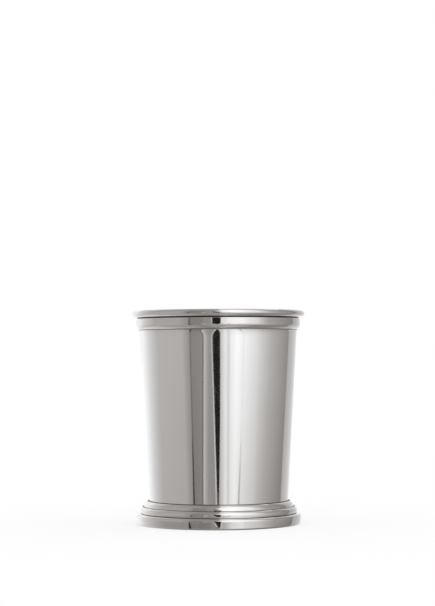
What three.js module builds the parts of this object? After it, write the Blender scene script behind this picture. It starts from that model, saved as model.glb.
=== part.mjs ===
import * as THREE from 'three';

// Julep cup of polished silver plate, in millimetres, +Z up.
// It stands on the XY plane with its axis on Z. A tapered sheet wall stands on the shelf of a moulded
// foot, holds a flat floor, and carries a round bead and a flat collar at its lip.
// Every joint is soldered: level faces meet face to face, and upright faces are a solder film apart.

// Wall and floor
const cupHeight = 108;
const wallRadiusAtFoot = 34.95;
const wallRadiusAtLip = 40.55;
const wallThickness = 1;
const floorThickness = 1.2;
const solderGap = 0.1;

// Lip: the bead's own section, how far it stands out from the wall, and the rebate for the wall's edge
const beadDiameter = 3.6;
const beadReach = 3.55;
const beadRebateDepth = 1;

// Collar: the flat band under the bead, whose lower part rounds in to a thin edge on the wall
const rimGrooveHeight = 0.5;
const collarHeight = 5.6;
const collarFlatHeight = 3;
const collarThickness = 1.23;
const collarLowerEdge = 0.1;
const collarTopRound = 0.3;

// Plinth: a skirt that stands on the table and a shelf that carries the wall, the floor and the rings.
// Its outside draws in a little towards the table before the edge rounds under.
const plinthHeight = 5.5;
const plinthStep = 2;
const plinthShoulder = 1.4;
const plinthDrawIn = 0.14;
const plinthBaseRound = 0.9;
const skirtThickness = 2.4;
const shelfThickness = 1.6;
const floorLedge = 1.3;

// Middle ring: a half-round wire that is widest a little below its middle
const middleRingHeight = 3.55;
const middleRingStep = 2.05;
const middleRingWaistHeight = 1.35;
const middleRingUndercut = 0.5;
const middleRingLedge = 0.35;

// Upper ring: a quarter-round wire against the wall
const upperRingHeight = 2.95;
const upperRingReach = 2.5;
const upperRingTopEdge = 0.1;

// Angles of a moulding's surface, as the tilt of its face from upright, in degrees
const faceDown = -90;
const faceOut = 0;
const faceUp = 90;
const faceIn = 180;
const collarEdgeTilt = -60;
const plinthDrawInTilt = -5;
const middleRingBaseTilt = -80;
const middleRingTopTilt = 85;
const upperRingBaseTilt = 7;
const upperRingTopTilt = 85;

// How finely round shapes are cut
const turningSteps = 96;
const quarterSteps = 5;
const smallRoundSteps = 2;

// Levels that more than one piece meets
const middleRingTop = plinthHeight + middleRingHeight;
const upperRingTop = middleRingTop + upperRingHeight;
const beadBottom = cupHeight - beadDiameter;
const wallBottom = plinthHeight;
const wallTop = beadBottom + beadRebateDepth;
const collarTop = beadBottom - rimGrooveHeight;
const collarBottom = collarTop - collarHeight;

// Outside radius of the tapered wall at a height
function wallRadius(height) {
  const rise = (height - wallBottom) / (wallTop - wallBottom);
  return THREE.MathUtils.lerp(wallRadiusAtFoot, wallRadiusAtLip, rise);
}

// Radius of a ring's bore at a height, a solder film clear of the wall
function boreRadius(height) {
  return wallRadius(height) + solderGap;
}

// Radii that more than one piece meets
const upperRingRadius = boreRadius(middleRingTop) + upperRingReach;
const middleRingRadius = upperRingRadius + middleRingStep;
const plinthRadius = middleRingRadius + plinthStep;

const at = (radius, height) => new THREE.Vector2(radius, height);

// Points of an elliptical curve from one point to another, where the face's tilt goes from one angle to
// the next. The first point is left out, because the outline already holds it.
function curve(start, end, startTilt, endTilt, steps) {
  const first = THREE.MathUtils.degToRad(startTilt);
  const last = THREE.MathUtils.degToRad(endTilt);
  const reach = (end.x - start.x) / (Math.cos(last) - Math.cos(first));
  const rise = (end.y - start.y) / (Math.sin(last) - Math.sin(first));
  const points = [];
  for (let step = 1; step < steps; step += 1) {
    const tilt = THREE.MathUtils.lerp(first, last, step / steps);
    const radius = start.x + reach * (Math.cos(tilt) - Math.cos(first));
    const height = start.y + rise * (Math.sin(tilt) - Math.sin(first));
    points.push(at(radius, height));
  }
  points.push(end);
  return points;
}

// A solid of revolution about the cup's axis. Its outline runs outwards below and upwards outside.
function turned(name, outline, color, roughness) {
  const geometry = new THREE.LatheGeometry(outline, turningSteps);
  geometry.rotateX(Math.PI / 2);
  const material = new THREE.MeshStandardMaterial({ color, roughness, metalness: 1 });
  const mesh = new THREE.Mesh(geometry, material);
  mesh.name = name;
  return mesh;
}

// A ring, whose outline closes on its first point
function turnedRing(name, outline, color, roughness) {
  return turned(name, [...outline, outline[0]], color, roughness);
}

// The tapered sheet wall, standing on the plinth's shelf and reaching up into the bead's rebate
function cupWall() {
  const outline = [
    at(wallRadiusAtFoot, wallBottom),
    at(wallRadiusAtLip, wallTop),
    at(wallRadiusAtLip - wallThickness, wallTop),
    at(wallRadiusAtFoot - wallThickness, wallBottom),
  ];
  return turnedRing('cup_wall', outline, 0xd9d5d1, 0.06);
}

// The flat floor, let into the wall from above. Its bevelled edge follows the wall's taper.
function cupFloor() {
  const floorTop = wallBottom + floorThickness;
  const clearance = wallThickness + solderGap;
  const outline = [
    at(0, wallBottom),
    at(wallRadius(wallBottom) - clearance, wallBottom),
    at(wallRadius(floorTop) - clearance, floorTop),
    at(0, floorTop),
  ];
  return turned('cup_floor', outline, 0xd2cec9, 0.12);
}

// The round lip wire. A shoulder cut in its underside rests on the wall's upper edge.
function rimBead() {
  const rebateRadius = wallRadiusAtLip + solderGap;
  const outerRadius = wallRadiusAtLip + beadReach;
  const crownRadius = outerRadius - beadDiameter / 2;
  const underside = at(crownRadius, beadBottom);
  const outermost = at(outerRadius, beadBottom + beadDiameter / 2);
  const crown = at(crownRadius, cupHeight);
  const insideLip = at(wallRadiusAtLip - wallThickness, wallTop);
  const outline = [
    at(rebateRadius, beadBottom),
    underside,
    ...curve(underside, outermost, faceDown, faceOut, quarterSteps),
    ...curve(outermost, crown, faceOut, faceUp, quarterSteps),
    ...curve(crown, insideLip, faceUp, faceIn, quarterSteps),
    at(rebateRadius, wallTop),
  ];
  return turnedRing('rim_bead', outline, 0xcfcbc6, 0.08);
}

// The band under the bead: an upright face that rounds in below to a thin edge on the wall
function rimCollar() {
  const outerRadius = boreRadius(collarTop) + collarThickness;
  const lowerEdge = at(boreRadius(collarBottom) + collarLowerEdge, collarBottom);
  const faceBottom = at(outerRadius, collarTop - collarFlatHeight);
  const faceTop = at(outerRadius, collarTop - collarTopRound);
  const topEdge = at(outerRadius - collarTopRound, collarTop);
  const outline = [
    at(boreRadius(collarBottom), collarBottom),
    lowerEdge,
    ...curve(lowerEdge, faceBottom, collarEdgeTilt, faceOut, quarterSteps),
    faceTop,
    ...curve(faceTop, topEdge, faceOut, faceUp, smallRoundSteps),
    at(boreRadius(collarTop), collarTop),
  ];
  return turnedRing('rim_collar', outline, 0xcfcbc6, 0.08);
}

// The quarter-round wire at the top of the foot
function footUpperRing() {
  const base = at(upperRingRadius, middleRingTop);
  const topEdge = at(boreRadius(upperRingTop) + upperRingTopEdge, upperRingTop);
  const outline = [
    at(boreRadius(middleRingTop), middleRingTop),
    base,
    ...curve(base, topEdge, upperRingBaseTilt, upperRingTopTilt, quarterSteps),
    at(boreRadius(upperRingTop), upperRingTop),
  ];
  return turnedRing('foot_upper_ring', outline, 0xcfcbc6, 0.08);
}

// The half-round wire between the upper ring and the plinth
function footMiddleRing() {
  const base = at(middleRingRadius - middleRingUndercut, plinthHeight);
  const waist = at(middleRingRadius, plinthHeight + middleRingWaistHeight);
  const topEdge = at(upperRingRadius + middleRingLedge, middleRingTop);
  const outline = [
    at(boreRadius(plinthHeight), plinthHeight),
    base,
    ...curve(base, waist, middleRingBaseTilt, faceOut, quarterSteps),
    ...curve(waist, topEdge, faceOut, middleRingTopTilt, quarterSteps),
    at(boreRadius(middleRingTop), middleRingTop),
  ];
  return turnedRing('foot_middle_ring', outline, 0xcfcbc6, 0.08);
}

// The bottom tier: an upright skirt with a rounded shoulder, and the shelf inside it
function footPlinth() {
  const skirtInside = plinthRadius - skirtThickness;
  const shelfInside = wallRadiusAtFoot - wallThickness - floorLedge;
  const shelfBottom = plinthHeight - shelfThickness;
  const faceBottom = at(plinthRadius - plinthDrawIn, plinthBaseRound);
  const standing = at(faceBottom.x - plinthBaseRound, 0);
  const faceTop = at(plinthRadius, plinthHeight - plinthShoulder);
  const shoulderTop = at(plinthRadius - plinthShoulder, plinthHeight);
  const outline = [
    at(skirtInside, 0),
    standing,
    ...curve(standing, faceBottom, faceDown, plinthDrawInTilt, quarterSteps),
    ...curve(faceBottom, faceTop, plinthDrawInTilt, faceOut, smallRoundSteps),
    ...curve(faceTop, shoulderTop, faceOut, faceUp, quarterSteps),
    at(shelfInside, plinthHeight),
    at(shelfInside, shelfBottom),
    at(skirtInside, shelfBottom),
  ];
  return turnedRing('foot_plinth', outline, 0xcfcbc6, 0.08);
}

const julepCup = new THREE.Group();
julepCup.name = 'julep_cup';
julepCup.add(cupWall(), cupFloor());
julepCup.add(rimBead(), rimCollar());
julepCup.add(footUpperRing(), footMiddleRing(), footPlinth());

export default julepCup;
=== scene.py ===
"""Julep cup of mirror-polished silver plate, turned piece by piece round its solid model.

Lengths are in metres, +Z is up along the cup's axis, and -Y is the side that the camera sees.
"""

import math
from typing import NamedTuple

import bmesh
import bpy
from bpy.props import FloatProperty, FloatVectorProperty, IntProperty, PointerProperty
from mathutils import Matrix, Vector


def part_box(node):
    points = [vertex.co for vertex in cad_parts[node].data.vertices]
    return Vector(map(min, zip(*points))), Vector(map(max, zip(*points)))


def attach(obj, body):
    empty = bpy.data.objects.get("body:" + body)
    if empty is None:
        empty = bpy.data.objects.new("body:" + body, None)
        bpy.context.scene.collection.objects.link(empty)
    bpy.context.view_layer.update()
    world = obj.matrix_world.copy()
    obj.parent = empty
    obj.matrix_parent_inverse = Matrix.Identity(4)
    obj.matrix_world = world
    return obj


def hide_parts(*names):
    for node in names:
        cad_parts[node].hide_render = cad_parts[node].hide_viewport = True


bl_info = {
    "name": "Julep Cup",
    "version": (1, 0, 0),
    "blender": (4, 5, 0),
    "location": "View3D > Sidebar > Julep Cup",
    "description": "Turns a silver-plated julep cup piece by piece and sets it in its studio",
    "category": "Add Mesh",
}

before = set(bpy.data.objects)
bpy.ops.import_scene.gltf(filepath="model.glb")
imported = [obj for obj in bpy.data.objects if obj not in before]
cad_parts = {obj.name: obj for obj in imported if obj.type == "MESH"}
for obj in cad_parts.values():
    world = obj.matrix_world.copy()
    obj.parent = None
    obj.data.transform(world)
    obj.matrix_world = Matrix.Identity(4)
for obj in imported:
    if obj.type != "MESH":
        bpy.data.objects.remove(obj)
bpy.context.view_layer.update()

MM = 0.001
FULL_TURN = math.tau
# A solid's points that are closer in height than this lie on one level
SAME_LEVEL = 0.01 * MM
# Turned points that are closer than this are one point
SAME_POINT = 0.1 * SAME_LEVEL
# An edge where the surface turns by more than this stays sharp
SHARP_ANGLE = math.radians(20)

# Names of the two finishes
SHEET = "mirror_silver_sheet"
MOULDING = "bright_silver_moulding"


def radii_at(node, level):
    """Inner and outer radius of a turned solid at the level of one of its edges."""
    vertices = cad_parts[node].data.vertices
    radii = [vert.co.xy.length for vert in vertices if abs(vert.co.z - level) < SAME_LEVEL]
    return min(radii), max(radii)


def levels(node):
    """Lowest and highest level of a solid."""
    low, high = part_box(node)
    return low.z, high.z


def outer_radius(node):
    """Greatest radius of a turned solid."""
    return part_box(node)[1].x


def srgb(code):
    """Linear colour of an sRGB hex value."""
    channels = [int(code[i:i + 2], 16) / 255 for i in (0, 2, 4)]
    linear = [c / 12.92 if c <= 0.04045 else ((c + 0.055) / 1.055) ** 2.4 for c in channels]
    return (*linear, 1.0)


class CupSizes(bpy.types.PropertyGroup):
    """Sizes that the solids' boxes don't give."""

    turning_steps: IntProperty(
        name="Turning steps", description="Facets in a full turn", default=360, min=12)
    arc_steps: IntProperty(
        name="Arc steps", description="Facets in each arc of an outline", default=20, min=3)
    wall_thickness: FloatProperty(
        name="Wall thickness", description="Gauge of the wall's sheet", default=1 * MM, unit="LENGTH")
    feather_height: FloatProperty(
        name="Feather height",
        description="Stretch of wall over which the solder under the collar fades out",
        default=6 * MM, unit="LENGTH")
    feather_thickness: FloatProperty(
        name="Feather thickness", description="Thickness of that solder where it meets the collar",
        default=0.19 * MM, unit="LENGTH")
    fillet: FloatProperty(
        name="Inner fillet",
        description="Radius of the solder fillets inside the cup and under its floor",
        default=0.9 * MM, unit="LENGTH")
    collar_flat: FloatProperty(
        name="Collar's flat", description="Height of the collar's upright face and top edge",
        default=3 * MM, unit="LENGTH")
    collar_round: FloatProperty(
        name="Collar's top edge", description="Radius of the collar's top edge",
        default=0.3 * MM, unit="LENGTH")
    waist_height: FloatProperty(
        name="Middle ring's waist", description="Height of its widest line above its base",
        default=1.35 * MM, unit="LENGTH")
    waist_flat: FloatProperty(
        name="Waist's flat",
        description="Height of the narrow band that polishing left upright at that line",
        default=0.45 * MM, unit="LENGTH")
    shoulder: FloatProperty(
        name="Plinth's shoulder", description="Radius of the plinth's upper edge",
        default=1.4 * MM, unit="LENGTH")
    base_round: FloatProperty(
        name="Plinth's lower edge", description="Radius of the plinth's lower edge",
        default=0.9 * MM, unit="LENGTH")
    shelf_thickness: FloatProperty(
        name="Shelf thickness", description="Thickness of the plinth's shelf",
        default=1.6 * MM, unit="LENGTH")


class CupFinish(bpy.types.PropertyGroup):
    """Colours and polish of the silver."""

    silver: FloatVectorProperty(
        name="Silver", description="Clean polished silver", subtype="COLOR", size=4,
        default=srgb("F6F5F3"))
    film: FloatVectorProperty(
        name="Film", description="Silver under the thinnest film of tarnish", subtype="COLOR", size=4,
        default=srgb("F1EEEA"))
    moulding: FloatVectorProperty(
        name="Moulding",
        description="Silver of the mouldings, polished a little less white than the sheet",
        subtype="COLOR", size=4, default=srgb("EDEBE8"))
    moulding_film: FloatVectorProperty(
        name="Moulding's film", description="Silver of the mouldings under a thin film of tarnish",
        subtype="COLOR", size=4, default=srgb("E6E2DD"))
    # Colour of the grooves' dark lines: partly real tarnish and dried polish, partly painted shade of the
    # grooves
    groove_tarnish_and_shade: FloatVectorProperty(
        name="Residue", description="Tarnish and dried polish in the grooves", subtype="COLOR", size=4,
        default=srgb("3A3632"))
    polish: FloatProperty(
        name="Roughness", description="Roughness of the mirror polish", default=0.06, min=0, max=1,
        subtype="FACTOR")


class CameraPlace(bpy.types.PropertyGroup):
    """Where the camera stands and how it looks at the cup."""

    distance: FloatProperty(
        name="Distance", description="From the cup's axis to the lens", default=963 * MM, unit="LENGTH")
    eye_height: FloatProperty(
        name="Eye height", description="Height of the lens over the table",
        default=81.6 * MM, unit="LENGTH")
    focal_length: FloatProperty(
        name="Focal length", description="In millimetres, for a frame 36 mm wide",
        default=112.3, unit="CAMERA")
    pitch: FloatProperty(
        name="Pitch", description="How far the camera looks up",
        default=math.radians(1.806), unit="ROTATION")
    yaw: FloatProperty(
        name="Yaw", description="How far the camera looks to the left",
        default=math.radians(0.012), unit="ROTATION")
    roll: FloatProperty(
        name="Roll", description="How far the camera leans to the right", default=math.radians(0.25),
        unit="ROTATION")


class CupSettings(bpy.types.PropertyGroup):
    """Everything that a user may change."""

    sizes: PointerProperty(type=CupSizes)
    finish: PointerProperty(type=CupFinish)
    camera: PointerProperty(type=CameraPlace)


# Turning

# Tilts of a face from upright, in degrees, as an outline runs outwards below and upwards outside
FACE_DOWN = -90
FACE_OUT = 0
FACE_UP = 90
FACE_IN = 180
COLLAR_EDGE_TILT = -60
UPPER_RING_BASE_TILT = 7
UPPER_RING_TOP_TILT = 85
MIDDLE_RING_BASE_TILT = -80
MIDDLE_RING_TOP_TILT = 85
PLINTH_DRAW_IN_TILT = -5
# Facing down again, reached from inside
FACE_DOWN_AGAIN = FACE_DOWN + 360


def arc(start, end, start_tilt, end_tilt):
    """Points of an elliptical arc after its start, where the face turns from one tilt to another."""
    steps = bpy.context.scene.julep_cup.sizes.arc_steps
    first, last = math.radians(start_tilt), math.radians(end_tilt)
    reach = (end[0] - start[0]) / (math.cos(last) - math.cos(first))
    rise = (end[1] - start[1]) / (math.sin(last) - math.sin(first))
    points = []
    for step in range(1, steps):
        tilt = first + (last - first) * step / steps
        radius = start[0] + reach * (math.cos(tilt) - math.cos(first))
        height = start[1] + rise * (math.sin(tilt) - math.sin(first))
        points.append((radius, height))
    return [*points, end]


def link_mesh(bm, name):
    """Puts a finished bmesh into the scene as a new object."""
    mesh = bpy.data.meshes.new(name)
    bm.to_mesh(mesh)
    bm.free()
    piece = bpy.data.objects.new(name, mesh)
    bpy.context.scene.collection.objects.link(piece)
    return piece


def turn(name, outline, closed=True):
    """Spins an outline of (radius, height) points about the cup's axis into a smooth solid."""
    bm = bmesh.new()
    points = [bm.verts.new((radius, 0, height)) for radius, height in outline]
    lines = [bm.edges.new(pair) for pair in zip(points, points[1:])]
    if closed:
        lines.append(bm.edges.new((points[-1], points[0])))
    bmesh.ops.spin(
        bm, geom=points + lines, cent=(0, 0, 0), axis=(0, 0, 1), angle=FULL_TURN,
        steps=bpy.context.scene.julep_cup.sizes.turning_steps, use_merge=True)
    bmesh.ops.remove_doubles(bm, verts=bm.verts, dist=SAME_POINT)
    bmesh.ops.recalc_face_normals(bm, faces=bm.faces)
    piece = link_mesh(bm, name)
    piece.data.shade_smooth()
    piece.data.set_sharp_from_angle(angle=SHARP_ANGLE)
    return piece


def dress(piece, material, slot, *nodes):
    """Gives a piece its finish, ties it to the cup, and lets it stand for its solids."""
    piece.data.materials.append(bpy.data.materials[material])
    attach(piece, "root")
    if nodes:
        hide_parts(*nodes)


# Finishes

def add_node(tree, kind, inputs=None, **settings):
    """Adds a shader node with its settings. Each input is a plain value or the socket that feeds it."""
    node = tree.nodes.new(kind)
    for name, value in settings.items():
        setattr(node, name, value)
    for key, value in (inputs or {}).items():
        if isinstance(value, bpy.types.NodeSocket):
            tree.links.new(value, node.inputs[key])
        else:
            node.inputs[key].default_value = value
    return node


def empty_material(name):
    """A node material with nothing in it."""
    material = bpy.data.materials.new(name)
    material.use_nodes = True
    material.node_tree.nodes.clear()
    return material.node_tree


# The Mix node's sockets, whose names are the same for numbers, vectors and colours
NUMBER_A, NUMBER_B = 2, 3
COLOUR_A, COLOUR_B, COLOUR_OUT = 6, 7, 2

# Widths of the patches of film and of the smears that the polish leaves
FILM_PATCH = 25 * MM
SMEAR_PATCH = 8 * MM
# The smears' noise mostly lies between the first two values, and turns into these shares of the roughness
SMEAR_LOW, SMEAR_HIGH = 0.3, 0.7
SMOOTHEST, ROUGHEST = 0.7, 1.4
# Spacing and depth of the buffing rings, drawn coarser than a wheel leaves them, so that they show
SHEET_RINGS = 1.2 * MM
MOULDING_RINGS = 0.4 * MM
RING_DEPTH = 0.0002 * MM
# The grooves' dark colour, part tarnish and part painted shade, is dull, is thickest within this share of
# its reach, and lies a little below a corner
TARNISH_AND_SHADE_ROUGHNESS = 0.4
TARNISH_AND_SHADE_CORE = 0.25
TARNISH_AND_SHADE_SAG = 0.1 * MM


class Groove(NamedTuple):
    """A circle round the cup's axis, how far the dark of tarnish and painted shade reaches from it, and
    how much silver that covers.
    """

    radius: float
    level: float
    reach: float
    share: float


def silver_plate(name, clean, filmed, grooves, ring_spacing):
    """Polished silver plate over brass, buffed on the lathe.

    The eye gets a clean mirror, a breath of warm film in soft patches, and fine rings left by the buffing
    wheel. In the corners that the wheel can't reach lies a dark dull colour that is partly tarnish and
    partly painted shade of the grooves, and a painted contact shade lies along the standing edge.
    """
    finish = bpy.context.scene.julep_cup.finish
    tree = empty_material(name)
    place = add_node(tree, "ShaderNodeTexCoord").outputs["Object"]
    split = add_node(tree, "ShaderNodeSeparateXYZ", {"Vector": place})
    flat = add_node(tree, "ShaderNodeCombineXYZ", {"X": split.outputs["X"], "Y": split.outputs["Y"]})
    radius = add_node(tree, "ShaderNodeVectorMath", {0: flat.outputs[0]}, operation="LENGTH")
    # The place on a section through the cup, because what the lathe leaves is the same all the way round
    section = add_node(
        tree, "ShaderNodeCombineXYZ", {"X": radius.outputs["Value"], "Z": split.outputs["Z"]}).outputs[0]
    # Tarnish and painted groove shade: thickest near its circle, and gone at the end of its reach
    groove_tarnish_and_shade = None
    for groove in grooves:
        away = add_node(
            tree, "ShaderNodeVectorMath", {0: section, 1: (groove.radius, 0, groove.level)},
            operation="DISTANCE")
        amount = add_node(
            tree, "ShaderNodeMapRange",
            {"Value": away.outputs["Value"], "From Min": groove.reach * TARNISH_AND_SHADE_CORE,
             "From Max": groove.reach, "To Min": groove.share, "To Max": 0.0},
            interpolation_type="SMOOTHSTEP")
        if groove_tarnish_and_shade:
            amount = add_node(
                tree, "ShaderNodeMath", {0: groove_tarnish_and_shade, 1: amount.outputs[0]}, operation="MAXIMUM")
        groove_tarnish_and_shade = amount.outputs[0]
    # Film in soft patches
    film = add_node(tree, "ShaderNodeTexNoise", {"Vector": place, "Scale": 1 / FILM_PATCH, "Detail": 3.0})
    silver = add_node(
        tree, "ShaderNodeMix",
        {0: film.outputs["Fac"], COLOUR_A: tuple(clean), COLOUR_B: tuple(filmed)}, data_type="RGBA")
    # Painted shade: the grooves' dark colour, partly tarnish, darkens the silver in its corners and along
    # the standing edge
    colour = add_node(
        tree, "ShaderNodeMix",
        {0: groove_tarnish_and_shade, COLOUR_A: silver.outputs[COLOUR_OUT], COLOUR_B: tuple(finish.groove_tarnish_and_shade)},
        data_type="RGBA")
    # Smears, where the polish is a little rougher or smoother
    smear = add_node(
        tree, "ShaderNodeTexNoise", {"Vector": place, "Scale": 1 / SMEAR_PATCH, "Detail": 4.0})
    polish = add_node(
        tree, "ShaderNodeMapRange",
        {"Value": smear.outputs["Fac"], "From Min": SMEAR_LOW, "From Max": SMEAR_HIGH,
         "To Min": SMOOTHEST * finish.polish, "To Max": ROUGHEST * finish.polish})
    roughness = add_node(
        tree, "ShaderNodeMix",
        {0: groove_tarnish_and_shade, NUMBER_A: polish.outputs[0], NUMBER_B: TARNISH_AND_SHADE_ROUGHNESS}, data_type="FLOAT")
    # Buffing rings
    rings = add_node(
        tree, "ShaderNodeTexNoise", {"Vector": section, "Scale": 1 / ring_spacing, "Detail": 2.0})
    bump = add_node(
        tree, "ShaderNodeBump", {"Height": rings.outputs["Fac"], "Strength": 1.0, "Distance": RING_DEPTH})
    shader = add_node(
        tree, "ShaderNodeBsdfPrincipled",
        {"Base Color": colour.outputs[COLOUR_OUT], "Metallic": 1.0, "Roughness": roughness.outputs[0],
         "Normal": bump.outputs[0]})
    add_node(tree, "ShaderNodeOutputMaterial", {"Surface": shader.outputs[0]})


class JULEP_OT_finishes(bpy.types.Operator):
    """Makes the two silver finishes"""

    bl_idname = "julep_cup.finishes"
    bl_label = "Silver Finishes"

    def execute(self, context):
        finish = context.scene.julep_cup.finish
        collar_bottom, collar_top = levels("rim_collar")
        bead_bottom = levels("rim_bead")[0]
        ring_bottom, ring_top = levels("foot_upper_ring")
        plinth_bottom, plinth_top = levels("foot_plinth")
        under_bead = radii_at("rim_bead", bead_bottom)[0]
        collar_edge = radii_at("rim_collar", collar_bottom)[1]
        ring_bore = radii_at("foot_upper_ring", ring_top)[0]
        ring_base = radii_at("foot_upper_ring", ring_bottom)[1]
        middle_ring_base = radii_at("foot_middle_ring", plinth_top)[1]
        standing_edge = radii_at("foot_plinth", plinth_bottom)[1]
        # On the foot the dark of tarnish and painted shade lies a little out from the corner, on the
        # lower moulding
        grooves = [
            Groove(under_bead, (collar_top + bead_bottom) / 2, reach=1.15 * MM, share=0.98),
            Groove(collar_edge, collar_bottom - TARNISH_AND_SHADE_SAG, reach=0.5 * MM, share=0.6),
            Groove(ring_bore + 0.45 * MM, ring_top - TARNISH_AND_SHADE_SAG, reach=0.73 * MM, share=0.97),
            Groove(ring_base + 0.6 * MM, ring_bottom - TARNISH_AND_SHADE_SAG, reach=0.7 * MM, share=0.95),
            Groove(middle_ring_base + 0.1 * MM, plinth_top, reach=0.4 * MM, share=0.68),
            # Not a groove: a painted contact shade along the standing edge
            Groove(standing_edge + 0.4 * MM, plinth_bottom, reach=0.9 * MM, share=0.45),
        ]
        silver_plate(SHEET, finish.silver, finish.film, grooves, SHEET_RINGS)
        silver_plate(MOULDING, finish.moulding, finish.moulding_film, grooves, MOULDING_RINGS)
        return {"FINISHED"}


# The cup's pieces

# The power of its height by which the feather of solder swells towards the collar
FEATHER_SWELL = 4


class JULEP_OT_wall(bpy.types.Operator):
    """Turns the tapered sheet wall. Solder polished in with it feathers its outside under the collar"""

    bl_idname = "julep_cup.wall"
    bl_label = "Wall"

    def execute(self, context):
        sizes = context.scene.julep_cup.sizes
        bottom, top = levels("cup_wall")
        foot_radius = radii_at("cup_wall", bottom)[1]
        lip_radius = radii_at("cup_wall", top)[1]
        collar_bottom = levels("rim_collar")[0]
        feather_bottom = collar_bottom - sizes.feather_height

        def radius(height):
            """Outside radius of the tapered wall at a height."""
            return foot_radius + (lip_radius - foot_radius) * (height - bottom) / (top - bottom)

        outline = [(foot_radius, bottom)]
        for step in range(sizes.arc_steps + 1):
            share = step / sizes.arc_steps
            height = feather_bottom + sizes.feather_height * share
            outline.append((radius(height) + sizes.feather_thickness * share ** FEATHER_SWELL, height))
        outline += [
            (radius(collar_bottom), collar_bottom),
            (lip_radius, top),
            (lip_radius - sizes.wall_thickness, top),
            (foot_radius - sizes.wall_thickness, bottom),
        ]
        dress(turn("wall_sheet", outline), SHEET, "sheet_silver", "cup_wall")
        return {"FINISHED"}


class JULEP_OT_floor(bpy.types.Operator):
    """Turns the flat floor and the solder fillet that joins it to the wall"""

    bl_idname = "julep_cup.floor"
    bl_label = "Floor"

    def execute(self, context):
        sizes = context.scene.julep_cup.sizes
        bottom, top = levels("cup_floor")
        lower_edge = radii_at("cup_floor", bottom)[1]
        upper_edge = radii_at("cup_floor", top)[1]
        outline = [(0, bottom), (lower_edge, bottom), (upper_edge, top), (0, top)]
        dress(turn("floor_disc", outline, closed=False), SHEET, "sheet_silver", "cup_floor")

        wall_bottom, wall_top = levels("cup_wall")
        bore_bottom = radii_at("cup_wall", wall_bottom)[0]
        bore_top = radii_at("cup_wall", wall_top)[0]
        fillet_top = top + sizes.fillet
        share = (fillet_top - wall_bottom) / (wall_top - wall_bottom)
        wall_touch = (bore_bottom + (bore_top - bore_bottom) * share, fillet_top)
        floor_touch = (upper_edge - sizes.fillet, top)
        fillet = [(upper_edge, top), wall_touch, *arc(wall_touch, floor_touch, FACE_IN, FACE_UP)]
        dress(turn("floor_solder", fillet), MOULDING, "moulding_silver")
        return {"FINISHED"}


class JULEP_OT_bead(bpy.types.Operator):
    """Turns the round lip bead, which sits over the wall's upper edge"""

    bl_idname = "julep_cup.bead"
    bl_label = "Lip Bead"

    def execute(self, context):
        bottom, top = levels("rim_bead")
        wall_top = levels("cup_wall")[1]
        wall_inside = radii_at("cup_wall", wall_top)[0]
        rebate_radius = radii_at("rim_bead", bottom)[0]
        crown_radius = radii_at("rim_bead", top)[1]
        underside = (crown_radius, bottom)
        outermost = (outer_radius("rim_bead"), (bottom + top) / 2)
        crown = (crown_radius, top)
        outline = [
            (rebate_radius, bottom),
            underside,
            *arc(underside, outermost, FACE_DOWN, FACE_OUT),
            *arc(outermost, crown, FACE_OUT, FACE_UP),
            *arc(crown, (wall_inside, wall_top), FACE_UP, FACE_IN),
            (rebate_radius, wall_top),
        ]
        dress(turn("lip_bead", outline), MOULDING, "moulding_silver", "rim_bead")
        return {"FINISHED"}


class JULEP_OT_collar(bpy.types.Operator):
    """Turns the collar under the bead: an upright face that rounds in below to a thin edge"""

    bl_idname = "julep_cup.collar"
    bl_label = "Collar"

    def execute(self, context):
        sizes = context.scene.julep_cup.sizes
        bottom, top = levels("rim_collar")
        bore_bottom, lower_radius = radii_at("rim_collar", bottom)
        bore_top = radii_at("rim_collar", top)[0]
        face_radius = outer_radius("rim_collar")
        lower_edge = (lower_radius, bottom)
        face_bottom = (face_radius, top - sizes.collar_flat)
        face_top = (face_radius, top - sizes.collar_round)
        top_edge = (face_radius - sizes.collar_round, top)
        outline = [
            (bore_bottom, bottom),
            lower_edge,
            *arc(lower_edge, face_bottom, COLLAR_EDGE_TILT, FACE_OUT),
            face_top,
            *arc(face_top, top_edge, FACE_OUT, FACE_UP),
            (bore_top, top),
        ]
        dress(turn("lip_collar", outline), MOULDING, "moulding_silver", "rim_collar")
        return {"FINISHED"}


class JULEP_OT_foot_rings(bpy.types.Operator):
    """Turns the two wires of the foot: a quarter-round over a half-round with a narrow upright band"""

    bl_idname = "julep_cup.foot_rings"
    bl_label = "Foot Rings"

    def execute(self, context):
        sizes = context.scene.julep_cup.sizes
        bottom, top = levels("foot_upper_ring")
        bore_bottom, base_radius = radii_at("foot_upper_ring", bottom)
        bore_top, edge_radius = radii_at("foot_upper_ring", top)
        base, top_edge = (base_radius, bottom), (edge_radius, top)
        outline = [
            (bore_bottom, bottom),
            base,
            *arc(base, top_edge, UPPER_RING_BASE_TILT, UPPER_RING_TOP_TILT),
            (bore_top, top),
        ]
        dress(turn("foot_quarter_round", outline), MOULDING, "moulding_silver", "foot_upper_ring")

        bottom, top = levels("foot_middle_ring")
        bore_bottom, base_radius = radii_at("foot_middle_ring", bottom)
        bore_top, edge_radius = radii_at("foot_middle_ring", top)
        base, top_edge = (base_radius, bottom), (edge_radius, top)
        waist_radius, waist_level = outer_radius("foot_middle_ring"), bottom + sizes.waist_height
        lower_waist = (waist_radius, waist_level - sizes.waist_flat / 2)
        upper_waist = (waist_radius, waist_level + sizes.waist_flat / 2)
        outline = [
            (bore_bottom, bottom),
            base,
            *arc(base, lower_waist, MIDDLE_RING_BASE_TILT, FACE_OUT),
            upper_waist,
            *arc(upper_waist, top_edge, FACE_OUT, MIDDLE_RING_TOP_TILT),
            (bore_top, top),
        ]
        dress(turn("foot_half_round", outline), MOULDING, "moulding_silver", "foot_middle_ring")
        return {"FINISHED"}


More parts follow.
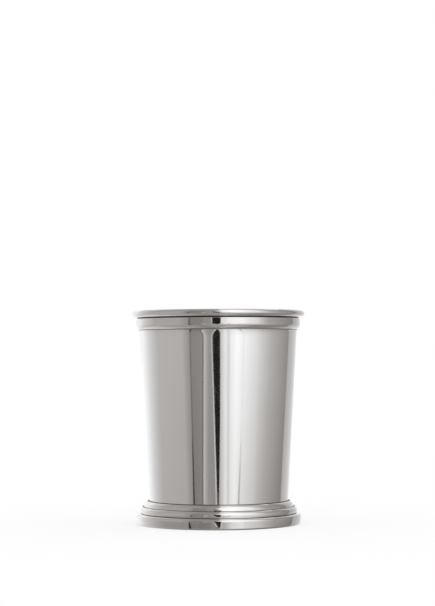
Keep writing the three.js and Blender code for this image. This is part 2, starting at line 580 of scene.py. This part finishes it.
class JULEP_OT_plinth(bpy.types.Operator):
    """Turns the plinth, and the solder fillet between its shelf and the floor"""

    bl_idname = "julep_cup.plinth"
    bl_label = "Plinth"

    def execute(self, context):
        sizes = context.scene.julep_cup.sizes
        bottom, top = levels("foot_plinth")
        skirt_inside, standing_radius = radii_at("foot_plinth", bottom)
        shelf_inside = radii_at("foot_plinth", top)[0]
        shelf_bottom = top - sizes.shelf_thickness
        face_radius = outer_radius("foot_plinth")
        standing = (standing_radius, bottom)
        face_bottom = (standing_radius + sizes.base_round, bottom + sizes.base_round)
        face_top = (face_radius, top - sizes.shoulder)
        shoulder_top = (face_radius - sizes.shoulder, top)
        outline = [
            (skirt_inside, bottom),
            standing,
            *arc(standing, face_bottom, FACE_DOWN, PLINTH_DRAW_IN_TILT),
            *arc(face_bottom, face_top, PLINTH_DRAW_IN_TILT, FACE_OUT),
            *arc(face_top, shoulder_top, FACE_OUT, FACE_UP),
            (shelf_inside, top),
            (shelf_inside, shelf_bottom),
            (skirt_inside, shelf_bottom),
        ]
        dress(turn("foot_plinth_ring", outline), MOULDING, "moulding_silver", "foot_plinth")

        floor_touch = (shelf_inside - sizes.fillet, top)
        shelf_touch = (shelf_inside, top - sizes.fillet)
        fillet_face = arc(floor_touch, shelf_touch, FACE_DOWN_AGAIN, FACE_IN)
        fillet = [(shelf_inside, top), floor_touch, *fillet_face]
        dress(turn("shelf_solder", fillet), MOULDING, "moulding_silver")
        return {"FINISHED"}


# The studio

TENT_RADIUS = 1.2
# Each sheet hangs this far behind the one before it
SHEET_GAP = 1 * MM
# The seams hang this far in front of the sheets
SEAM_DEPTH = 0.05
# The discs that close the tent above and below reach past its sheets
DISC_RADIUS = 1.25
LOW_CARD_RADIUS = 0.09
TENT_FLOOR = -0.42
TENT_CEILING = 1.3
# How finely the curved sheets are cut, in degrees, and the round table and discs, in facets
SHEET_FACET = 1.5
ROUND_FACETS = 96

# Levels between which a sheet's tone falls: the stretch of the tent that the cup's straight wall shows
HORIZON, LOWEST_SEEN = -0.02, -0.2
# Levels between which its tone changes upwards, in the stretch that the mouldings' upturned faces show
SHOULDER, TOP = 0.1, 1.3
# Level where lower sheets, which the wall shows, give way to upper ones, which the mouldings show
PARTING = 0.005
# Near its sides the cup's wall looks less steeply down, so the side sheets part higher
SIDE_PARTING = 0.06
# Level above which only the upturned faces of the mouldings look
HIGH = 0.25
# Level where the leaning inner sheets end on upright ones, which only the feathered solder shows
FOLD_FOOT = -0.215
# Level where the left and the right seam turn into their feet
SEAM_KNEE = -0.12
# Level where the inner and the right seam end
SEAM_END = -0.3
# Lowest and highest level of the low cards
CARD_FOOT, CARD_HEAD = -0.02, -0.0005


class Sheet(NamedTuple):
    """A sheet of the tent as the silver shows it.

    It runs between two azimuths, in degrees from the camera's place towards the camera's right, and its
    tone goes from the first to the last on the way. Fall and rise are the shares of that tone that are
    left low down and high up. Lean is how far its foot stands to the right of its head, in degrees, and
    spread is how many times as wide its foot is.
    """

    start: float
    end: float
    tone: float
    end_tone: float
    fall: float = 1.0
    rise: float = 1.0
    low: float = TENT_FLOOR
    high: float = TENT_CEILING
    lean: float = 0.0
    spread: float = 1.0


# Where two sheets overlap, the earlier one hangs in front
TENT_SHEETS = {
    "left_back": Sheet(-165, -138, 0.75, 0.72, low=0.65),
    "left_glow": Sheet(-163.6, -136.6, 1.15, 0.98, fall=0.9, high=SIDE_PARTING, lean=-12.0),
    "left_fade": Sheet(-136.6, -97.6, 0.98, 0.52, fall=0.9, high=SIDE_PARTING, lean=-12.0),
    "left_upper_fade": Sheet(-138, -99, 1.03, 0.52, rise=0.6, low=SIDE_PARTING),
    "left_sheet": Sheet(-110, -53, 0.515, 0.48, fall=0.91, high=SIDE_PARTING),
    "left_fold": Sheet(-53, -41.5, 0.475, 0.32, fall=0.92, high=PARTING),
    "left_upper": Sheet(-99, -55, 0.48, 0.45, rise=0.85, low=SIDE_PARTING),
    "left_upper_fold": Sheet(-55, -41, 0.45, 0.34, rise=0.9, low=PARTING),
    "inner_fold": Sheet(-20.0, -12.5, 0.62, 0.34, low=FOLD_FOOT, high=PARTING, lean=-5.3),
    "inner_fold_foot": Sheet(-21.0, -14.5, 0.58, 0.32, high=FOLD_FOOT),
    "inner_sheet": Sheet(-12.5, 3, 0.33, 0.29, fall=0.97, low=FOLD_FOOT, high=PARTING, lean=-5.3),
    "inner_sheet_foot": Sheet(-14.5, 0, 0.32, 0.28, high=FOLD_FOOT),
    "middle_sheet": Sheet(-50, -18, 0.24, 0.305, fall=0.86, high=PARTING),
    "middle_upper": Sheet(-50, -20, 0.235, 0.28, low=PARTING),
    "fold": Sheet(1.5, 10.5, 0.56, 0.95, fall=0.93, high=PARTING),
    "fold_turn": Sheet(10.5, 16.5, 0.95, 0.71, fall=0.93, high=PARTING),
    "fold_upper": Sheet(1.5, 16.5, 0.8, 1.15, low=PARTING, high=HIGH),
    "fold_high": Sheet(1.5, 16.5, 1.25, 1.3, low=HIGH),
    "fold_high_edge": Sheet(-6.5, 1.5, 0.55, 1.15, low=HIGH, lean=6),
    "inner_upper": Sheet(-24, 1.5, 0.34, 0.3, rise=0.95, low=PARTING),
    "bright_sheet": Sheet(16.5, 28, 0.94, 1.15, fall=0.9, high=PARTING),
    "bright_turn": Sheet(28, 36.5, 1.14, 1.02, fall=0.85, high=PARTING, lean=-8),
    "bright_upper": Sheet(16.5, 35.5, 1.13, 1.17, low=PARTING, high=HIGH),
    "bright_high": Sheet(16.5, 56, 1.4, 1.0, low=HIGH),
    "bright_high_far": Sheet(56, 80, 1.0, 0.46, low=HIGH),
    "right_near": Sheet(30, 60, 1.15, 0.8, fall=0.76, high=SIDE_PARTING),
    "right_middle": Sheet(60, 82, 0.785, 0.515, fall=0.72, high=SIDE_PARTING),
    "right_far": Sheet(82, 125, 0.51, 0.285, fall=0.8, high=SIDE_PARTING, lean=-7.2),
    "right_upper": Sheet(35.5, 57, 1.1, 0.86, low=SIDE_PARTING),
    "right_upper_middle": Sheet(57, 72, 0.8, 0.47, low=SIDE_PARTING),
    "right_upper_far": Sheet(72, 127.5, 0.46, 0.27, low=SIDE_PARTING),
    "right_edge": Sheet(125, 165, 0.46, 0.85, high=SIDE_PARTING, lean=-7.2),
    "right_upper_edge": Sheet(127.5, 165, 0.47, 0.85, low=SIDE_PARTING),
    "inner_back": Sheet(-12, 3, 0.3, 0.3, high=PARTING),
}

TENT_SEAMS = {
    "left_seam_head": Sheet(-40.3, -38.7, 0.12, 0.12, low=PARTING, high=0.2),
    "left_seam": Sheet(-41.6, -40.1, 0.17, 0.17, fall=0.8, low=SEAM_KNEE, high=PARTING, lean=0.8),
    "left_seam_foot": Sheet(-41.4, -39.7, 0.24, 0.24, fall=0.07, high=SEAM_KNEE, lean=1.05, spread=3.0),
    "inner_seam": Sheet(-21.8, -20.1, 0.13, 0.13, fall=0.95, low=FOLD_FOOT, high=0.0, lean=-5.2),
    "inner_seam_foot": Sheet(-22.5, -20.8, 0.13, 0.13, low=SEAM_END, high=FOLD_FOOT),
    "right_seam": Sheet(36.8, 38.4, 0.92, 0.92, fall=0.88, low=SEAM_KNEE, high=0.02, lean=-1.8),
    "right_seam_foot": Sheet(
        34.4, 36.0, 1.5, 1.5, fall=0.26, low=SEAM_END, high=SEAM_KNEE, lean=-7.4, spread=2.6),
}

# Low cards close round the foot, a little under the table's level, that only the plinth's face shows
LOW_CARDS = {
    "low_left_edge": Sheet(-125, -84, 1.2, 0.55, low=CARD_FOOT, high=CARD_HEAD),
    "low_left_fade": Sheet(-84, -64, 0.55, 0.375, low=CARD_FOOT, high=CARD_HEAD),
    "low_left": Sheet(-64, -37, 0.37, 0.32, low=CARD_FOOT, high=CARD_HEAD),
    "low_inner": Sheet(-21, -8, 0.22, 0.25, low=CARD_FOOT, high=CARD_HEAD),
    "low_opening": Sheet(-1.7, 2.1, 0.016, 0.016, low=-0.0098, high=CARD_HEAD, spread=0.6),
    "low_fold": Sheet(4, 13, 0.46, 0.84, low=CARD_FOOT, high=CARD_HEAD),
    "low_bright": Sheet(13, 26, 0.85, 0.96, low=CARD_FOOT, high=CARD_HEAD),
    "low_right": Sheet(26, 46.5, 0.86, 0.64, low=CARD_FOOT, high=CARD_HEAD),
    "low_right_far": Sheet(46.5, 68, 0.62, 0.36, low=CARD_FOOT, high=CARD_HEAD),
}


class Slit(NamedTuple):
    """An opening in the tent that narrows to a tip below.

    Its top, middle and tip are (left, right, level), with azimuths in degrees and levels in metres.
    """

    radius: float
    tone: float
    top: tuple
    middle: tuple
    tip: tuple


# The opening's pale border, and in front of it the dark opening that the camera looks through
SLITS = {
    "opening_border": Slit(
        radius=0.935, tone=0.6, top=(-9.4, 4.4, 0.285), middle=(-9.6, 3.0, 0), tip=(-3.9, -0.6, -0.185)),
    "camera_opening": Slit(
        radius=0.93, tone=0.016, top=(-7.7, 4.4, 0.27), middle=(-8.1, 3.0, 0), tip=(-1.9, -0.6, -0.172)),
}
# Steps from the middle to the tip, and the power by which the right edge draws in late on the way
SLIT_STEPS = 12
SLIT_DRAW_IN = 2.5

# Tones of the ceiling and of the cloth below, as (azimuth, tone) round their rims
CEILING_TONES = (
    (-180, 1.1), (-163, 1.15), (-155, 0.65), (-140, 0.6), (-120, 0.46), (-85, 0.42), (-30, 0.38),
    (0, 0.42), (7, 1.0), (24, 1.35), (42, 1.35), (60, 1.05), (84, 0.6), (105, 0.45), (140, 1.1),
    (180, 1.1),
)
CLOTH_TONES = (
    (-180, 0.9), (-150, 0.9), (-115, 0.68), (-92, 0.44), (-60, 0.42), (-30, 0.33), (-22, 0.33),
    (-12, 0.4), (8, 0.42), (14, 0.5), (42, 0.45), (60, 0.32), (100, 0.29), (126, 0.32), (130, 0.52),
    (165, 0.65), (180, 0.9),
)
# Shares of those tones at the centre
CEILING_CENTRE = 0.65
CLOTH_CENTRE = 0.85

# Light cloth turns from a little warm at a dim tone to a little cool at a bright one
SHADE = "FFFAF8"
GLOW = "FAFCFF"
DIM, BRIGHT = 0.2, 0.9

TABLE_RADIUS = 3
# The table lies this far under the cup, so that no two faces share a place
TABLE_GAP = 0.01 * MM
# The table's white is partly plain paint, which takes the cup's shadow, and partly a glow of its own
TABLE_PAINT = 0.3
TABLE_GLOW = 0.7

# Light goes round the inside of a mirror-bright cup many times
MIRROR_BOUNCES = 12
# Width of the camera's frame in millimetres
FRAME_WIDTH = 36


def azimuth_share(tree, place):
    """Azimuth as a share of a full turn, where 0.5 is the camera's side of the cup."""
    turned = add_node(tree, "ShaderNodeMapping", {"Vector": place, "Rotation": (0, 0, math.radians(90))})
    round_axis = add_node(
        tree, "ShaderNodeTexGradient", {"Vector": turned.outputs[0]}, gradient_type="RADIAL")
    return round_axis.outputs["Fac"]


def glow(tree, strength):
    """Cloth of the tent that is lit from behind and glows at a strength."""
    lit = add_node(tree, "ShaderNodeMapRange", {"Value": strength, "From Min": DIM, "From Max": BRIGHT})
    colour = add_node(
        tree, "ShaderNodeMix",
        {0: lit.outputs[0], COLOUR_A: srgb(SHADE), COLOUR_B: srgb(GLOW)}, data_type="RGBA")
    cloth = add_node(
        tree, "ShaderNodeEmission", {"Color": colour.outputs[COLOUR_OUT], "Strength": strength})
    add_node(tree, "ShaderNodeOutputMaterial", {"Surface": cloth.outputs[0]})


def sheet_cloth(name, sheet):
    """Cloth whose tone runs from side to side of a sheet, and changes towards its foot and its head."""
    tree = empty_material(name)
    place = add_node(tree, "ShaderNodeTexCoord").outputs["Object"]
    height = add_node(tree, "ShaderNodeSeparateXYZ", {"Vector": place}).outputs["Z"]
    # A leaning sheet's tones lean with it
    slope = sheet.lean / 360 / (sheet.high - sheet.low)
    upright = add_node(
        tree, "ShaderNodeMath", {0: height, 1: slope, 2: azimuth_share(tree, place)},
        operation="MULTIPLY_ADD")
    head_share = 0.5 + slope * sheet.high
    across = add_node(
        tree, "ShaderNodeMapRange",
        {"Value": upright.outputs[0], "From Min": head_share + sheet.start / 360,
         "From Max": head_share + sheet.end / 360})
    side = add_node(
        tree, "ShaderNodeMath", {0: sheet.end_tone / sheet.tone, 1: across.outputs[0]}, operation="POWER")
    down = add_node(
        tree, "ShaderNodeMapRange", {"Value": height, "From Min": HORIZON, "From Max": LOWEST_SEEN})
    foot = add_node(tree, "ShaderNodeMath", {0: sheet.fall, 1: down.outputs[0]}, operation="POWER")
    up = add_node(tree, "ShaderNodeMapRange", {"Value": height, "From Min": SHOULDER, "From Max": TOP})
    head = add_node(tree, "ShaderNodeMath", {0: sheet.rise, 1: up.outputs[0]}, operation="POWER")
    ends = add_node(
        tree, "ShaderNodeMath", {0: foot.outputs[0], 1: head.outputs[0]}, operation="MULTIPLY")
    both = add_node(
        tree, "ShaderNodeMath", {0: side.outputs[0], 1: ends.outputs[0]}, operation="MULTIPLY")
    strength = add_node(
        tree, "ShaderNodeMath", {0: both.outputs[0], 1: sheet.tone}, operation="MULTIPLY")
    glow(tree, strength.outputs[0])


def round_cloth(name, tones, centre_share):
    """Cloth of a level disc, with tones round its rim and a share of them at its centre."""
    tree = empty_material(name)
    place = add_node(tree, "ShaderNodeTexCoord").outputs["Object"]
    rim = add_node(tree, "ShaderNodeValToRGB", {0: azimuth_share(tree, place)})
    stops = rim.color_ramp.elements
    while len(stops) < len(tones):
        stops.new(0.5)
    for stop, (azimuth, tone) in zip(stops, tones):
        stop.position = 0.5 + azimuth / 360
        stop.color = (tone, tone, tone, 1)
    flat = add_node(tree, "ShaderNodeVectorMath", {0: place, 1: (1, 1, 0)}, operation="MULTIPLY")
    radius = add_node(tree, "ShaderNodeVectorMath", {0: flat.outputs[0]}, operation="LENGTH")
    inwards = add_node(
        tree, "ShaderNodeMapRange",
        {"Value": radius.outputs["Value"], "From Max": TENT_RADIUS, "To Min": centre_share})
    strength = add_node(
        tree, "ShaderNodeMath", {0: rim.outputs["Color"], 1: inwards.outputs[0]}, operation="MULTIPLY")
    glow(tree, strength.outputs[0])


def hang(sheet, name):
    """Puts its cloth on a piece of the tent, and shows the piece in the silver's reflections alone."""
    material = bpy.data.materials[name]
    material.cycles.emission_sampling = "NONE"
    sheet.data.materials.append(material)
    sheet.visible_camera = False
    sheet.visible_diffuse = False
    sheet.visible_shadow = False


def swing(bm, vert, degrees):
    """Moves a point round the cup's axis."""
    turn_round = Matrix.Rotation(math.radians(degrees), 3, "Z")
    bmesh.ops.rotate(bm, verts=[vert], cent=(0, 0, 0), matrix=turn_round)


def azimuth(vert):
    """Azimuth of a point in degrees, from the camera's side of the cup towards the camera's right."""
    return math.degrees(math.atan2(vert.co.x, -vert.co.y))


def tent_sheet(name, radius, sheet):
    """Hangs one curved sheet round the cup's axis."""
    bm = bmesh.new()
    foot = bm.verts.new((0, -radius, sheet.low))
    head = bm.verts.new((0, -radius, sheet.high))
    edge = bm.edges.new((foot, head))
    for vert in (foot, head):
        swing(bm, vert, sheet.start)
    width = sheet.end - sheet.start
    bmesh.ops.spin(
        bm, geom=[foot, head, edge], cent=(0, 0, 0), axis=(0, 0, 1), angle=math.radians(width),
        steps=max(1, round(width / SHEET_FACET)))
    middle = (sheet.start + sheet.end) / 2
    for vert in [v for v in bm.verts if v.co.z < (sheet.low + sheet.high) / 2]:
        away = azimuth(vert) - middle
        swing(bm, vert, sheet.lean + away * (sheet.spread - 1))
    sheet_cloth(name, sheet)
    hang(link_mesh(bm, name), name)


def opening(name, slit):
    """Hangs one curved slit in front of the tent, straight down to its middle and then in to its tip."""
    left, right, level = slit.middle
    tip_left, tip_right, tip_level = slit.tip
    rows = [slit.top]
    for step in range(SLIT_STEPS + 1):
        share = step / SLIT_STEPS
        rows.append((
            left + (tip_left - left) * share,
            right + (tip_right - right) * share ** SLIT_DRAW_IN,
            level + (tip_level - level) * share,
        ))
    bm = bmesh.new()
    left_rim = []
    for row_left, _, row_level in rows:
        vert = bm.verts.new((0, -slit.radius, row_level))
        swing(bm, vert, row_left)
        left_rim.append(vert)
    lines = [bm.edges.new(pair) for pair in zip(left_rim, left_rim[1:])]
    extruded = bmesh.ops.extrude_edge_only(bm, edges=lines)["geom"]
    right_rim = [item for item in extruded if isinstance(item, bmesh.types.BMVert)]
    right_rim.sort(key=lambda vert: -vert.co.z)
    for vert, (_, row_right, _) in zip(right_rim, rows):
        swing(bm, vert, row_right - azimuth(vert))
    sheet_cloth(name, Sheet(left, right, slit.tone, slit.tone))
    hang(link_mesh(bm, name), name)


class JULEP_OT_studio(bpy.types.Operator):
    """Sets the cup on a pale table in a white room, in a soft light tent that only its silver shows"""

    bl_idname = "julep_cup.studio"
    bl_label = "Studio"

    def execute(self, context):
        self.room()
        self.table()
        self.tent()
        self.camera(context)
        context.scene.view_settings.view_transform = "Standard"
        context.scene.cycles.glossy_bounces = MIRROR_BOUNCES
        return {"FINISHED"}

    def room(self):
        """A plain white room that lights the cup evenly."""
        world = bpy.data.worlds.new("white_room")
        world.use_nodes = True
        world.node_tree.nodes.clear()
        white = add_node(
            world.node_tree, "ShaderNodeBackground", {"Color": srgb("FFFFFF"), "Strength": 1.0})
        add_node(world.node_tree, "ShaderNodeOutputWorld", {"Surface": white.outputs[0]})
        bpy.context.scene.world = world

    def table(self):
        """A pale table that keeps a soft shadow. Seen from below, and in the silver, it isn't there."""
        tree = empty_material("pale_table")
        paint = add_node(
            tree, "ShaderNodeBsdfDiffuse", {"Color": (TABLE_PAINT, TABLE_PAINT, TABLE_PAINT, 1)})
        bright = add_node(tree, "ShaderNodeEmission", {"Color": srgb("FFFFFF"), "Strength": TABLE_GLOW})
        white = add_node(tree, "ShaderNodeAddShader", {0: paint.outputs[0], 1: bright.outputs[0]})
        clear = add_node(tree, "ShaderNodeBsdfTransparent")
        path = add_node(tree, "ShaderNodeLightPath")
        below = add_node(tree, "ShaderNodeNewGeometry").outputs["Backfacing"]
        hidden = add_node(
            tree, "ShaderNodeMath", {0: path.outputs["Is Glossy Ray"], 1: below}, operation="MAXIMUM")
        mixed = add_node(
            tree, "ShaderNodeMixShader", {0: hidden.outputs[0], 1: white.outputs[0], 2: clear.outputs[0]})
        add_node(tree, "ShaderNodeOutputMaterial", {"Surface": mixed.outputs[0]})
        bpy.data.materials["pale_table"].cycles.emission_sampling = "NONE"
        bm = bmesh.new()
        bmesh.ops.create_circle(bm, cap_ends=True, segments=ROUND_FACETS, radius=TABLE_RADIUS)
        bmesh.ops.translate(bm, verts=bm.verts, vec=(0, 0, -TABLE_GAP))
        bm.normal_update()
        bmesh.ops.reverse_faces(bm, faces=[face for face in bm.faces if face.normal.z < 0])
        table = link_mesh(bm, "table")
        table.data.materials.append(bpy.data.materials["pale_table"])

    def tent(self):
        """Sheets, seams, low cards and the camera's opening, then the ceiling and the cloth below."""
        for place, (name, sheet) in enumerate(TENT_SHEETS.items()):
            tent_sheet(name, TENT_RADIUS + place * SHEET_GAP, sheet)
        for name, sheet in TENT_SEAMS.items():
            tent_sheet(name, TENT_RADIUS - SEAM_DEPTH, sheet)
        for name, sheet in LOW_CARDS.items():
            tent_sheet(name, LOW_CARD_RADIUS, sheet)
        for name, slit in SLITS.items():
            opening(name, slit)
        self.disc("ceiling", TENT_CEILING, CEILING_TONES, CEILING_CENTRE)
        self.disc("cloth", TENT_FLOOR, CLOTH_TONES, CLOTH_CENTRE)

    def disc(self, name, level, tones, centre_share):
        """A level disc of cloth that closes the tent."""
        bm = bmesh.new()
        bmesh.ops.create_circle(bm, cap_ends=True, segments=ROUND_FACETS, radius=DISC_RADIUS)
        bmesh.ops.translate(bm, verts=bm.verts, vec=(0, 0, level))
        round_cloth(name, tones, centre_share)
        hang(link_mesh(bm, name), name)

    def camera(self, context):
        """The camera, with its lens level with the cup's upper third."""
        place = context.scene.julep_cup.camera
        data = bpy.data.cameras.new("camera")
        data.lens = place.focal_length
        data.sensor_width = FRAME_WIDTH
        camera = bpy.data.objects.new("camera", data)
        facing = (
            Matrix.Translation((0, -place.distance, place.eye_height))
            @ Matrix.Rotation(place.yaw, 4, "Z")
            @ Matrix.Rotation(math.radians(90) + place.pitch, 4, "X")
            @ Matrix.Rotation(-place.roll, 4, "Z")
        )
        camera.matrix_world = facing
        context.scene.collection.objects.link(camera)
        context.scene.camera = camera


class JULEP_PT_panel(bpy.types.Panel):
    """Sidebar panel that lists the cup's settings and steps"""

    bl_idname = "JULEP_PT_panel"
    bl_label = "Julep Cup"
    bl_space_type = "VIEW_3D"
    bl_region_type = "UI"
    bl_category = "Julep Cup"

    def draw(self, context):
        settings = context.scene.julep_cup
        groups = {"Sizes": settings.sizes, "Finish": settings.finish, "Camera": settings.camera}
        for title, group in groups.items():
            box = self.layout.box()
            box.label(text=title)
            for name in group.__annotations__:
                box.prop(group, name)
        for step in STEPS:
            self.layout.operator(step.bl_idname)


STEPS = (
    JULEP_OT_finishes,
    JULEP_OT_wall,
    JULEP_OT_floor,
    JULEP_OT_bead,
    JULEP_OT_collar,
    JULEP_OT_foot_rings,
    JULEP_OT_plinth,
    JULEP_OT_studio,
)
CLASSES = (CupSizes, CupFinish, CameraPlace, CupSettings, *STEPS, JULEP_PT_panel)


def register():
    """Adds the settings, the steps and the panel to Blender."""
    for cls in CLASSES:
        bpy.utils.register_class(cls)
    bpy.types.Scene.julep_cup = PointerProperty(type=CupSettings)


def unregister():
    """Takes the settings, the steps and the panel out again."""
    del bpy.types.Scene.julep_cup
    for cls in reversed(CLASSES):
        bpy.utils.unregister_class(cls)


def main():
    """Makes the cup and its studio."""
    register()
    bpy.ops.julep_cup.finishes()
    bpy.ops.julep_cup.wall()
    bpy.ops.julep_cup.floor()
    bpy.ops.julep_cup.bead()
    bpy.ops.julep_cup.collar()
    bpy.ops.julep_cup.foot_rings()
    bpy.ops.julep_cup.plinth()
    bpy.ops.julep_cup.studio()


if __name__ == "__main__":
    main()
